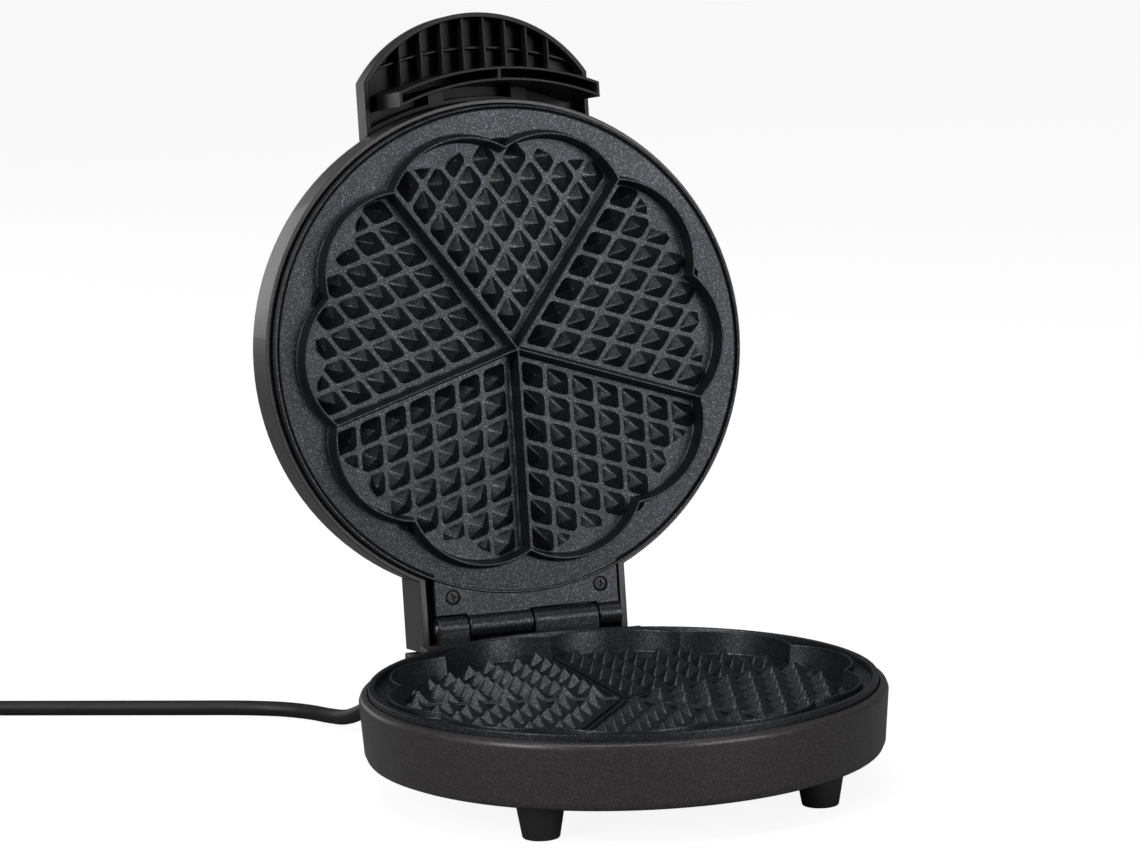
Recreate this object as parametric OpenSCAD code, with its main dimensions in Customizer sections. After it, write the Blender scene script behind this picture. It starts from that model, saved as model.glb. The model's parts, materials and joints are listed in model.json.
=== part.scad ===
// Heart waffle maker with a hinged lid, shown with the lid open on its stop.
// Modelled around the axis of the round base: +Y runs to the hinge, -Y to the handle.

/* [Housings] */
// Outside radius of the base and the lid
body_r = 113; // [112:0.5:114]
// Height of the feet
foot_h = 15.8; // [15:0.1:16.5]
// Height of the top edge of the base housing above the surface it stands on
base_top = 44.7; // [44.2:0.1:45]
// Wall thickness of the plastic housings
wall = 2.2; // [1.8:0.1:2.6]
// Height of the lid housing from its rim to its shoulder
lid_wall_h = 22; // [20:0.5:23]

/* [Baking plates] */
// Distance of the heart lobes from the centre of the flower
lobe_c = 62; // [61:0.5:63]
// Radius of the lobes of the lower mould's upstanding lip
lower_lobe_r = 41.2; // [41:0.1:41.6]
// Radius of the lobes of the upper mould's hanging lip
upper_lobe_r = 37.5; // [37:0.1:37.8]
// Distance between neighbouring pyramids, along a side of their grid
pitch = 12.53; // [12.3:0.01:12.7]
// Width of the flat valley between two rows of pyramids
valley = 2.3; // [2:0.1:2.8]
// Height of a pyramid
pyramid_h = 5.2; // [4.5:0.1:5.4]

/* [Hinge] */
// Distance from the base axis to the hinge axis
hinge_y = 124.2; // [124:0.1:125]
// Height of the hinge axis
hinge_z = 49.7; // [49.5:0.1:50]
// How far the lid swings open
open_angle = 96; // [94:1:96]
// Radius of the hinge barrels
barrel_r = 5.2; // [5:0.1:5.3]
// Radius of the hinge pin
pin_r = 2; // [1.8:0.1:2.4]

/* [Handle] */
// Half the width of the handle
handle_half_w = 53.8; // [52:0.2:55]
// Farthest reach of the handle from the base axis
handle_reach = 154.5; // [152:0.5:156]
// Pitch of the ribs under the handle
rib_pitch = 10.2; // [9.8:0.1:10.4]

/* [Mains cord] */
// Diameter of the cord
cord_d = 7; // [6.6:0.2:7.2]
// Radius of the outermost turn of the coil, at the middle of the cord
coil_outer_r = 52.5; // [52:0.5:53]
// Number of turns in the coil
coil_turns = 3; // [3:1:3]

/* [Hidden] */
$fn = 96;

clear = 0.3;
far_y = 192.6;                       // rear face of the open lid's handle
origin_y = (body_r - far_y) / 2;     // brings the middle of the whole body to y = 0

// Heights of the lower plate, from the surface the object stands on
lower_floor = 37.2;
plate_t = 3.5;
moat_z = 44.2;
lower_lip_top = 47.4;
plate_r = 108.9;
rim_w = 2.7;
lip_t = 1.2;

// Heights of the upper plate, measured with the lid shut
upper_face = 49.3;
upper_lip_tip = 39.4;
bead_r = 111.2;
groove_r = 109.3;

// Hinge: barrel ends along X
lower_barrels = [[-44, -30], [1.7, 32.4]];
upper_barrels = [[-29.2, 0.9], [33.2, 44]];
pin_clear = 0.05;
tab_half_w = 44;
tab_end_y = 118.5;
cheek_out = 49.5;
cheek_in = 46.2;
cheek_past_hinge = 11;

// Rear block of the base, under the hinge
block_half_w = 53;
block_end_y = 146;
block_low_z = 35.8;
block_high_z = 43;
block_step_y = 121.5;

// Lid
lid_rim_z = 54.1;
shoulder_r = 8;
lid_top_z = 86.5;

// Handle and its hanging guard, with the lid shut
handle_rim_z = 75;
handle_top_z = 89;
handle_arc_r = 63.8;
guard_in_r = 121.3;
guard_out_r = 127.8;
guard_half_w = 47.5;
guard_low_z = 41;
guard_t = 1.4;
handle_screw_z = 77.5;

heart_axes = [270, 342, 54, 126, 198];
divider_axes = [306, 18, 90, 162, 234];
first_corner = 5.55;                 // from the centre to the first corner of the pyramid grid
grid_step = pitch * sin(72);         // distance between two rows, measured square to them
grid_rows = 8;
pyramid_lobe_r = 33.8;               // the pyramids are cut off along this lobe radius

mouth_r = 105.2;                     // opening of the base housing that the bottom cover closes
front_feet = [61.7, -67.3];
rear_feet = [40, 128];
heater_r = 66;
heater_tube_r = 3.3;
shield_r = 96;
bolt_r = 80;
bolt_angles = [30, 150, 270];

// The cord leaves the wall beside the hinge block and lies along the floor to the coil
gland_angle = 123;
gland_z = 24.5;
coil_centre = [-292, 236];
coil_in_r = coil_outer_r - 7 * coil_turns;
cord_r = cord_d / 2;
cord_z = 3.6;
cord_route = [[-67, 114.5, 21.2], [-69.7, 123.5, 19.4], [-72.3, 132.5, 16.2], [-74.3, 141.5, 12.2],
    [-76, 150.5, 8.4], [-78.4, 160, 5.4], [-82, 172, 3.9], [-88, 185, 3.6], [-97, 196, 3.6],
    [-108, 204.5, 3.6], [-120, 211.5, 3.6], [-133, 218, 3.6], [-147, 225, 3.6], [-161, 232, 3.6],
    [-175, 239, 3.6], [-189, 246, 3.6], [-203, 253, 3.6], [-217, 260, 3.6], [-231, 267, 3.6],
    [-246, 274, 3.6], [-261, 281, 3.6], [-276, 286.5, 3.6], [-292, 288.5, 3.6]];
plug_z = 16.2;
plug_r = 19;
plug_h = 23;
tail_angle = 90;
tail_steps = 9;

// ---------- helpers ----------

module place() translate([0, origin_y, 0]) children();

// Moves a piece of the closed lid to where it stands with the lid open
module on_lid() place() translate([0, hinge_y, hinge_z]) rotate([-open_angle, 0, 0])
    translate([0, -hinge_y, -hinge_z]) children();

module ring(r_out, r_in, h) difference() {
    cylinder(r = r_out, h = h);
    translate([0, 0, -1]) cylinder(r = r_in, h = h + 2);
}

// Flower of ten lobes, which is the outline of five hearts in a ring
module flower(r) {
    circle(lobe_c);
    for (i = [0:9]) rotate(36 * i) translate([lobe_c, 0]) circle(r);
}

// Rows of pointed ridges that run along +X, side by side along +Y
module ridges() rotate([90, 0, 90]) linear_extrude(110) for (k = [0:grid_rows - 1])
    polygon([[k * grid_step + valley / 2, -0.5], [k * grid_step + valley / 2, 0],
        [(k + 0.5) * grid_step, pyramid_h], [(k + 1) * grid_step - valley / 2, 0],
        [(k + 1) * grid_step - valley / 2, -0.5]]);

// The pyramids of one heart, whose axis is +X: where two sets of ridges cross
module heart_pyramids() intersection() {
    translate([first_corner, 0, 0]) rotate(-36) ridges();
    translate([first_corner, 0, 0]) rotate(36) mirror([0, 1, 0]) ridges();
    translate([0, 0, -1]) linear_extrude(pyramid_h + 2) {
        polygon([[0, 0], 86.5 * [cos(36), -sin(36)], lobe_c * [cos(18), -sin(18)],
            lobe_c * [cos(18), sin(18)], 86.5 * [cos(36), sin(36)]]);
        for (s = [-18, 18]) rotate(s) translate([lobe_c, 0]) circle(pyramid_lobe_r);
    }
}

module along_x(x0, x1, r) translate([x0, 0, 0]) rotate([0, 90, 0]) cylinder(r = r, h = x1 - x0);

// Cross-head screw, its head's top at z = 0 and its shank pointing down
module screw(head_r, head_h, shank_r, shank_l) difference() {
    union() {
        translate([0, 0, -head_h]) cylinder(r = head_r, h = head_h);
        translate([0, 0, -head_h - shank_l]) cylinder(r = shank_r, h = shank_l + 0.1);
    }
    for (a = [0, 90]) rotate(a) translate([-head_r * 0.6, -0.4, -head_h * 0.5])
        cube([head_r * 1.2, 0.8, head_h]);
}

// A tube swept along points, each ring square to the path
function unit(v) = v / norm(v);
function tangent(p, i) = unit(p[min(i + 1, len(p) - 1)] - p[max(i - 1, 0)]);
function side(t) = unit(cross([0, 0, 1], t));
function swept_ring(c, t, r, n) = let (s = side(t), u = cross(t, s))
    [for (k = [0:n - 1]) c + r * (cos(360 * k / n) * s + sin(360 * k / n) * u)];
module swept_tube(p, r, n = 10) {
    m = len(p);
    points = [for (i = [0:m - 1]) each swept_ring(p[i], tangent(p, i), r, n)];
    faces = concat([[for (k = [0:n - 1]) k]],
        [for (i = [0:m - 2], k = [0:n - 1])
            [i * n + k, (i + 1) * n + k, (i + 1) * n + (k + 1) % n, i * n + (k + 1) % n]],
        [[for (k = [0:n - 1]) (m - 1) * n + n - 1 - k]]);
    polyhedron(points, faces, convexity = 6);
}

// ---------- base ----------

module base_round_solid(r_off) rotate_extrude() polygon([[0, foot_h], [body_r - 5.6 - r_off, foot_h],
    [body_r - 2.8 - r_off, foot_h + 1.2], [body_r - 1.6 - r_off, foot_h + 4], [body_r - r_off, base_top - 3.2],
    [body_r - 0.8 - r_off, base_top - 1], [body_r - 2.7 - r_off, base_top], [0, base_top]]);

module block_outline() translate([-block_half_w, 80]) square([2 * block_half_w, block_end_y - 80]);

module base_housing() color("#3e3a3c") place() difference() {
    union() {
        difference() {
            union() {
                base_round_solid(0);
                translate([0, 0, foot_h]) linear_extrude(block_low_z - foot_h) block_outline();
                translate([-block_half_w, 90, foot_h])
                    cube([2 * block_half_w, block_step_y - 90, block_high_z - foot_h]);
            }
            // round well for the plate and everything under it
            translate([0, 0, foot_h + wall + clear]) cylinder(r = plate_r + 0.4, h = 40);
            translate([0, 0, foot_h - 1]) cylinder(r = mouth_r, h = 6);
            // hollow of the rear block
            translate([wall - block_half_w, 100, foot_h - 1])
                cube([2 * (block_half_w - wall), block_end_y - wall - 100, block_low_z - wall - foot_h + 1]);
        }
        // six ledges carry the lower plate
        for (a = [20, 65, 160, 200, 250, 290]) rotate(a) translate([103.5, -6, 29.7]) cube([7, 12, 4]);
        // posts that the foot screws bite into, each tied to the wall by a web
        for (s = [-1, 1]) {
            translate([s * front_feet[0], front_feet[1], foot_h + wall + clear]) cylinder(r = 4.5, h = 5);
            rotate(atan2(front_feet[1], s * front_feet[0])) translate([94.3, -1.5, foot_h + wall + clear])
                cube([15.6, 3, 4.5]);
            translate([s * rear_feet[0], rear_feet[1], foot_h + wall + clear]) cylinder(r = 4.5, h = 12);
            translate([s > 0 ? rear_feet[0] + 3 : 1 - block_half_w, rear_feet[1] - 1.5,
                foot_h + wall + clear]) cube([block_half_w - 4 - rear_feet[0], 3, 11]);
        }
    }
    // holes for the foot screws
    for (s = [-1, 1]) {
        translate([s * front_feet[0], front_feet[1], foot_h]) cylinder(r = 1.65, h = 12);
        translate([s * rear_feet[0], rear_feet[1], foot_h]) cylinder(r = 1.65, h = 12);
    }
    // seat of the lower plate's tab, with the holes of its two screws
    translate([-tab_half_w - clear, 95, 39.4 - clear])
        cube([2 * tab_half_w + 2 * clear, 30, 10]);
    for (s = [-1, 1]) translate([s * 35.5, 111, 30]) cylinder(r = 1.65, h = 12);
    // mouth of the cord gland
    gland_axis() translate([0, 0, -12]) cylinder(r = 5.05, h = 20);
}

module gland_axis() translate([109.4 * cos(gland_angle), 109.4 * sin(gland_angle), gland_z])
    rotate([0, 0, 108]) rotate([0, 98, 0]) children();

module bottom_cover() color("#232224") place() difference() {
    translate([0, 0, foot_h]) linear_extrude(wall) union() {
        circle(mouth_r - clear);
        translate([-block_half_w + wall + clear, 100 + clear])
            square([2 * (block_half_w - wall - clear), block_end_y - wall - 2 * clear - 100]);
    }
    for (s = [-1, 1]) {
        translate([s * front_feet[0], front_feet[1], foot_h - 1]) cylinder(r = 1.7, h = 6);
        translate([s * rear_feet[0], rear_feet[1], foot_h - 1]) cylinder(r = 1.7, h = 6);
    }
    // vent slots in three rows
    for (y = [-30, 0, 30], x = [-28:8:28]) translate([x - 1.5, y - 9, foot_h - 1]) cube([3, 18, 6]);
}

module foot(x, y) color("#1c1c1c") place() translate([x, y, 0]) difference() {
    cylinder(r1 = 7.75, r2 = 10.5, h = foot_h);
    translate([0, 0, -1]) cylinder(r = 4.2, h = 6);
    cylinder(r = 1.7, h = foot_h + 1);
}

module foot_screws() color("#9a9ca0") place() for (p = [front_feet, rear_feet], s = [-1, 1])
    translate([s * p[0], p[1], 2.6]) mirror([0, 0, 1]) screw(3.4, 2.4, 1.5, 16);

module lower_plate() color("#2b2e33") place() difference() {
    union() {
        difference() {
            translate([0, 0, lower_floor - plate_t]) cylinder(r = plate_r, h = moat_z - lower_floor + plate_t);
            translate([0, 0, lower_floor]) linear_extrude(20) flower(lower_lobe_r - lip_t);
            // hollow behind the moat, seen only from below
            translate([0, 0, lower_floor - plate_t - 1]) linear_extrude(moat_z - lower_floor + plate_t - 2.2)
                difference() {
                    circle(plate_r - 3);
                    flower(lower_lobe_r + 1.6);
                    for (a = [20, 65, 90, 160, 200, 250, 290]) rotate(a) translate([98, -8]) square([16, 16]);
                }
        }
        // upstanding lip around the flower
        translate([0, 0, lower_floor]) linear_extrude(lower_lip_top - lower_floor) difference() {
            flower(lower_lobe_r);
            flower(lower_lobe_r - lip_t);
        }
        // upstanding outer rim
        translate([0, 0, moat_z - 1]) ring(plate_r, plate_r - rim_w, lower_lip_top - moat_z + 1);
        // twin low ribs between the hearts
        for (a = divider_axes) rotate(a) for (s = [-1, 1])
            translate([2, s * 1.7 - 0.7, lower_floor - 0.5]) cube([91.5, 1.4, 1.9]);
        for (a = heart_axes) rotate(a) translate([0, 0, lower_floor]) heart_pyramids();
        // channel that holds the heater
        translate([0, 0, lower_floor - plate_t - 5.2]) ring(heater_r + 6, heater_r - 6, 5.3);
        for (a = bolt_angles) rotate(a) translate([bolt_r, 0, 24.2]) cylinder(r = 4.5, h = 10);
        // tab and barrels of the hinge
        translate([-tab_half_w, 100, 39.4]) cube([2 * tab_half_w, 21, 4.1]);
        for (b = lower_barrels) translate([0, hinge_y, hinge_z]) {
            along_x(b[0], b[1], barrel_r);
            translate([b[0], -barrel_r, -hinge_z + 39.4]) cube([b[1] - b[0], barrel_r + 2, hinge_z - 39.4]);
        }
    }
    translate([0, hinge_y, hinge_z]) along_x(-50, 50, pin_r + 0.01);
    heater_groove(29.5);
    for (a = bolt_angles) rotate(a) translate([bolt_r, 0, 20]) cylinder(r = 1.95, h = 12.5);
    for (s = [-1, 1]) translate([s * 35.5, 111, 0]) {
        translate([0, 0, 41.5]) cylinder(r = 3.6, h = 4);
        translate([0, 0, 35]) cylinder(r = 1.7, h = 10);
    }
    // room under the tab for the ledge of the housing
    translate([0, hinge_y, hinge_z]) for (b = upper_barrels) along_x(b[0] - 0.4, b[1] + 0.4, barrel_r + 0.5);
}

module lower_tab_screws() color("#26272a") place() for (s = [-1, 1])
    translate([s * 35.5, 111, 43.4]) screw(3.3, 1.8, 1.5, 8);

module heater_groove(z) translate([0, 0, z]) rotate([0, 0, 105])
    rotate_extrude(angle = 330) translate([heater_r, 0]) circle(heater_tube_r + 0.05, $fn = 32);

// A tubular heater bent to an open ring, its two cold ends turned away from the plate
module heater(z, s) color("#7d7f80") translate([0, 0, z]) rotate([0, 0, 120]) {
    rotate_extrude(angle = 300) translate([heater_r, 0]) circle(heater_tube_r, $fn = 32);
    for (a = [1.5, 298.5]) rotate(a) translate([heater_r, 0, s > 0 ? 0 : -10])
        cylinder(r = 1.2, h = 10);
}

module lower_heater() place() heater(29.5, -1);

module shield(z) color("#8b8d8f") translate([0, 0, z]) difference() {
    cylinder(r = shield_r, h = 0.8);
    for (a = bolt_angles) rotate(a) translate([bolt_r, 0, -1]) cylinder(r = 1.95, h = 3);
    rotate(90) translate([22, 0, -1]) cylinder(r = 13, h = 3);
    for (a = [121.5, 58.5]) rotate(a) translate([heater_r, 0, -1]) cylinder(r = 5, h = 3);
}

module lower_heat_shield() place() shield(23.4);

module shield_bolts(z, s) color("#a5a7aa") for (a = bolt_angles) rotate(a) translate([bolt_r, 0, z])
    mirror([0, 0, s > 0 ? 0 : 1]) screw(3.8, 2, 1.8, 7);

module lower_shield_bolts() place() shield_bolts(21.4, -1);

module thermostat() color("#c9c4b4") place() translate([0, 22, 0]) {
    translate([0, 0, 26.2]) cylinder(r = 9.5, h = lower_floor - plate_t - 26.2);
    for (s = [-1, 1]) translate([s * 5 - 2, -0.5, 20]) cube([4, 1, 6.3]);
}

module fuse_cradle() color("#b9bbbd") place() difference() {
    translate([-45, -12, 24.2]) cube([8, 24, 3.4]);
    translate([-41, -20, 27.6]) rotate([-90, 0, 0]) cylinder(r = 2.35, h = 40);
}

module thermal_fuse() color("#d7cfae") place() translate([-41, -10, 27.6]) rotate([-90, 0, 0]) {
    cylinder(r = 2.3, h = 20);
    translate([0, 0, -8]) cylinder(r = 0.6, h = 36);
}

module terminal_block() color("#d8d5cc") place() difference() {
    translate([-18, 126, foot_h + wall]) cube([36, 14, 11]);
    for (x = [-12, 0, 12]) translate([x, 133, foot_h + wall + 6]) cylinder(r = 2.4, h = 10);
}

module base_wires() color("#b06a2e") place() {
    for (x = [-12, 0, 12]) translate([x, 100, foot_h + wall + 3]) rotate([-90, 0, 0])
        cylinder(r = 1.3, h = 26);
    translate([-12, 98.7, foot_h + wall + 3]) rotate([0, 90, 0]) cylinder(r = 1.3, h = 24);
}

module hinge_pin() color("#a9abae") place() translate([0, hinge_y, hinge_z])
    along_x(-44.6, 44.6, pin_r);

// Strain relief: a flange inside the wall and a tapered sleeve outside it
module cord_gland() color("#1a1a1b") place() gland_axis() difference() {
    union() {
        translate([0, 0, -5.5]) cylinder(r = 6.8, h = 3);
        translate([0, 0, -2.6]) cylinder(r = 5, h = 8);
        translate([0, 0, 5]) cylinder(r1 = 6, r2 = 4.4, h = 19);
    }
    translate([0, 0, 24 - 0.01]) cylinder(r = cord_r, h = 2);
}

module cord_clamp() color("#d5d2c9") place() difference() {
    translate([-48, 108, foot_h + wall]) cube([20, 10, 9]);
    for (x = [-44, -32]) translate([x, 113, foot_h + wall + 4]) cylinder(r = 1.5, h = 8);
}

module mains_cord() color("#262626") place() swept_tube(cord_route, cord_r);

// The wound length: three flat turns side by side
module cord_coil() color("#262626") place() translate(coil_centre) rotate_extrude() polygon([
    [coil_in_r - cord_r + 1.5, cord_z - cord_r], [coil_outer_r + cord_r - 1.5, cord_z - cord_r],
    [coil_outer_r + cord_r, cord_z - cord_r + 1.5], [coil_outer_r + cord_r, cord_z + cord_r - 1.5],
    [coil_outer_r + cord_r - 1.5, cord_z + cord_r], [coil_in_r - cord_r + 1.5, cord_z + cord_r],
    [coil_in_r - cord_r, cord_z + cord_r - 1.5], [coil_in_r - cord_r, cord_z - cord_r + 1.5]]);

// From the innermost turn the cord climbs to the plug that lies on the coil
function tail_point(t) = let (a = 90 + tail_angle * t, r = coil_in_r - 1.7 * t)
    [coil_centre[0] + r * cos(a), coil_centre[1] + r * sin(a),
        cord_z + (plug_z - cord_z) * (1 - cos(180 * t)) / 2];
module cord_tail() color("#262626") place()
    swept_tube([for (i = [0:tail_steps]) tail_point(i / tail_steps)], cord_r);

module coil_tie() color("#111111") place() translate(coil_centre) rotate(-60) difference() {
    translate([coil_in_r - cord_r - 0.8, -4, 0]) cube([7 * coil_turns + cord_d + 1.6, 8, cord_z + cord_r + 0.8]);
    translate([coil_in_r - cord_r - 0.05, -5, -1]) cube([7 * coil_turns + cord_d + 0.1, 10, cord_z + cord_r + 1.05]);
}

// Angled round plug on its back, pins up
module at_plug() translate([coil_centre[0] - coil_in_r + 1.7, coil_centre[1] - 20 - plug_r, cord_z + cord_r + 0.1])
    children();
module plug_body() color("#1d1d1e") place() at_plug() difference() {
    union() {
        cylinder(r = plug_r - 1.5, h = plug_h - 1);
        cylinder(r = plug_r, h = plug_h - 5);
        translate([0, plug_r - 4, plug_z - cord_z - cord_r - 0.1]) rotate([-90, 0, 0])
            cylinder(r1 = 6.6, r2 = 4.6, h = 24);
    }
    // flats for the side earth strips
    for (s = [-1, 1]) translate([s * (plug_r + 0.4) - 1.4, -3, 6]) cube([2.8, 6, 30]);
}
module plug_pins() color("#c2c4c8") place() at_plug() for (s = [-1, 1])
    translate([0, s * 9.5, plug_h - 1]) cylinder(r = 2.4, h = 19);
module plug_earth_strips() color("#b8a77c") place() at_plug() for (s = [-1, 1])
    translate([s * (plug_r - 0.55) - 0.4, -2.5, 6.2]) cube([0.8, 5, 14]);

// ---------- lid, modelled shut ----------

module lid_profile(off) polygon([[0, lid_rim_z - 20], [body_r + 0.8 - off, lid_rim_z - 20],
    [body_r + 0.8 - off, lid_rim_z + lid_wall_h - off],
    for (a = [15:15:90]) [body_r + 0.8 - shoulder_r + (shoulder_r - off) * cos(a),
        lid_rim_z + lid_wall_h + (shoulder_r - off) * sin(a)],
    [0, lid_top_z - off]]);

module lid_envelope(off) rotate_extrude() lid_profile(off);

module rear_hood(off) translate([-cheek_out + off, 60, lid_rim_z - (off > 0 ? 1 : 0)])
    cube([2 * (cheek_out - off), hinge_y + cheek_past_hinge - 60 - off,
        lid_wall_h + shoulder_r - 2 - off + (off > 0 ? 1 : 0)]);

module lid_housing() color("#3e3a3c") on_lid() difference() {
    union() {
        intersection() {
            lid_envelope(0);
            translate([0, 0, lid_rim_z]) cylinder(r = 150, h = 60);
        }
        rear_hood(0);
    }
    lid_envelope(wall);
    rear_hood(cheek_out - cheek_in);
    // lamp windows and the holes of the handle screws
    for (s = [-1, 1]) {
        translate([s * 14, -84, 70]) cylinder(r = 4.05, h = 30);
        translate([s * 20, -100, handle_screw_z]) rotate([90, 0, 0]) cylinder(r = 2.1, h = 30);
        // seats for the heads, cut into the shoulder
        translate([s * 20, -100, handle_screw_z]) rotate([90, 0, 0]) cylinder(r = 3.5, h = 8.95);
    }
}

module vent_ring() color("#1d1d1f") on_lid() difference() {
    translate([0, 0, lid_rim_z + 0.5]) ring(body_r + 0.8 - wall - 0.1, 105.3, 1.6);
    for (a = [139.5, 169.5, 199.5, 229.5, 310.5, 340.5, 10.5, 40.5]) rotate(a - 9.5)
        translate([0, 0, lid_rim_z]) rotate_extrude(angle = 19) translate([108, 0]) square([2.6, 5]);
    translate([-cheek_in, 90, 40]) cube([2 * cheek_in, 40, 30]);
}

module upper_plate() color("#2b2e33") on_lid() difference() {
    union() {
        difference() {
            translate([0, 0, upper_face]) cylinder(r = bead_r, h = plate_t);
            // fine groove that sets off the raised outer bead
            translate([0, 0, upper_face - 1]) ring(groove_r + 0.4, groove_r - 0.4, 2);
        }
        translate([0, 0, upper_face - 0.8]) ring(bead_r, groove_r + 0.4, 2);
        // hanging lip around the flower, and the walls between the hearts
        translate([0, 0, upper_lip_tip]) linear_extrude(upper_face - upper_lip_tip + 1) difference() {
            flower(upper_lobe_r + lip_t / 2);
            flower(upper_lobe_r - lip_t / 2);
        }
        for (a = divider_axes) rotate(a) translate([0, -lip_t / 2, upper_lip_tip])
            cube([91.2, lip_t, upper_face - upper_lip_tip + 1]);
        for (a = heart_axes) rotate(a) translate([0, 0, upper_face]) mirror([0, 0, 1]) heart_pyramids();
        // skirt that seats in the vent ring, heater channel and bolt bosses
        translate([0, 0, upper_face + 1]) ring(105, 102.5, 10);
        translate([0, 0, upper_face + plate_t - 0.1]) ring(heater_r + 6, heater_r - 6, 5.3);
        for (a = bolt_angles) rotate(a) translate([bolt_r, 0, upper_face + 1]) cylinder(r = 4.5, h = 11.8);
        translate([-tab_half_w, 95, upper_face]) cube([2 * tab_half_w, tab_end_y - 95, 3]);
        for (b = upper_barrels) translate([0, hinge_y, hinge_z]) {
            along_x(b[0], b[1], barrel_r);
            translate([b[0], tab_end_y - 1 - hinge_y, upper_face - hinge_z])
                cube([b[1] - b[0], hinge_y - tab_end_y + 1, 3]);
        }
    }
    translate([0, hinge_y, hinge_z]) along_x(-50, 50, pin_r + pin_clear);
    heater_groove(upper_face + plate_t + 4.1);
    for (a = bolt_angles) rotate(a) translate([bolt_r, 0, upper_face + 4]) cylinder(r = 1.95, h = 12);
    for (s = [-1, 1]) translate([s * 35.5, 110.5, upper_face - 1]) {
        cylinder(r = 3.6, h = 2.4);
        cylinder(r = 1.7, h = 10);
    }
    // room for the lower plate's barrels
    translate([0, hinge_y, hinge_z]) for (b = lower_barrels) along_x(b[0] - 0.4, b[1] + 0.4, barrel_r + 0.6);
}

module upper_tab_screws() color("#26272a") on_lid() for (s = [-1, 1])
    translate([s * 35.5, 110.5, upper_face + 0.2]) mirror([0, 0, 1]) screw(3.3, 1.2, 1.5, 9);

module upper_heater() on_lid() heater(upper_face + plate_t + 4.1, 1);

module upper_heat_shield() on_lid() shield(upper_face + 12.9);

module upper_shield_bolts() on_lid() shield_bolts(upper_face + 15.7, 1);

// Outline of the handle: an arc in front and two straight sides
module handle_outline(off) intersection() {
    translate([0, -handle_reach + handle_arc_r]) circle(handle_arc_r - off);
    translate([-handle_half_w + off, -170]) square([2 * (handle_half_w - off), 82]);
}

module guard_outline(off) intersection() {
    difference() {
        circle(guard_out_r - off);
        circle(guard_in_r + off);
    }
    translate([-guard_half_w + off, -140]) square([2 * (guard_half_w - off), 60]);
}

module handle() color("#161617") on_lid() difference() {
    union() {
        difference() {
            translate([0, 0, handle_rim_z]) linear_extrude(handle_top_z - handle_rim_z) handle_outline(0);
            translate([0, 0, handle_rim_z - 1]) linear_extrude(handle_top_z - handle_rim_z - 1)
                intersection() {
                    handle_outline(wall);
                    difference() {
                        circle(200);
                        circle(body_r + 3.2);
                    }
                }
        }
        // ribs across, one rib along, and the double wall of the guard
        translate([0, 0, handle_rim_z + 0.6]) linear_extrude(handle_top_z - handle_rim_z - 1) intersection() {
            handle_outline(1);
            difference() {
                translate([-60, -170]) square([120, 60]);
                circle(guard_out_r - 0.7);
            }
            for (i = [-3.5:1:3.5]) translate([i * rib_pitch - 0.65, -170]) square([1.3, 70]);
        }
        translate([0, 0, handle_rim_z + 6]) linear_extrude(7) intersection() {
            handle_outline(1);
            difference() {
                circle(139.4);
                circle(138);
            }
        }
        translate([0, 0, guard_low_z]) linear_extrude(handle_top_z - guard_low_z - 1) guard_outline(0);
        // two bosses that meet the lid wall
        for (s = [-1, 1]) translate([s * 20 - 4, -122, handle_rim_z]) cube([8, 14, 12]);
    }
    difference() {
        translate([0, 0, guard_low_z - 1]) linear_extrude(handle_top_z - guard_low_z - 3) guard_outline(guard_t);
        translate([-0.8, -135, 0]) cube([1.6, 20, 100]);
    }
    lid_envelope(-0.1);
    for (s = [-1, 1]) translate([s * 20, -100, handle_screw_z]) rotate([90, 0, 0]) cylinder(r = 1.55, h = 20);
}

module handle_screws() color("#9a9ca0") on_lid() for (s = [-1, 1])
    translate([s * 20, -106.7, handle_screw_z]) rotate([-90, 0, 0]) screw(3.2, 2, 1.5, 10);

module lamp_lens(x, c) color(c) on_lid() translate([x, -84, 80]) cylinder(r = 4, h = 5.4);

module lamp_board() color("#2f5b38") on_lid() {
    translate([-22, -92, 72]) cube([44, 16, 1.6]);
    for (s = [-1, 1]) translate([s * 14, -84, 73.5]) cylinder(r = 2.4, h = 6);
}

module lid_wires() color("#8a3b2e") on_lid() for (s = [-1, 1])
    translate([s * 10, -75.9, 72.8]) rotate([-90, 0, 0]) cylinder(r = 1.1, h = 190);

base_housing();
bottom_cover();
foot(-front_feet[0], front_feet[1]);  // foot_front_left
foot(front_feet[0], front_feet[1]);  // foot_front_right
foot(-rear_feet[0], rear_feet[1]);  // foot_rear_left
foot(rear_feet[0], rear_feet[1]);  // foot_rear_right
foot_screws();
lower_plate();
lower_tab_screws();
lower_shield_bolts();
lower_heater();
lower_heat_shield();
thermostat();
thermal_fuse();
fuse_cradle();
terminal_block();
base_wires();
hinge_pin();
cord_gland();
cord_clamp();
mains_cord();
cord_coil();
cord_tail();
coil_tie();
plug_body();
plug_pins();
plug_earth_strips();
lid_housing();
vent_ring();
upper_plate();
upper_tab_screws();
upper_shield_bolts();
upper_heater();
upper_heat_shield();
handle();
handle_screws();
lamp_lens(-14, "#b3261e");  // power_lamp_lens
lamp_lens(14, "#2f8a3b");  // ready_lamp_lens
lamp_board();
lid_wires();
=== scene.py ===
"""Heart waffle maker: the visible pieces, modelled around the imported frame."""

import json
import math

import bmesh
import bpy
from bpy.props import FloatProperty, FloatVectorProperty, PointerProperty
from mathutils import Matrix, Vector


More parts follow.
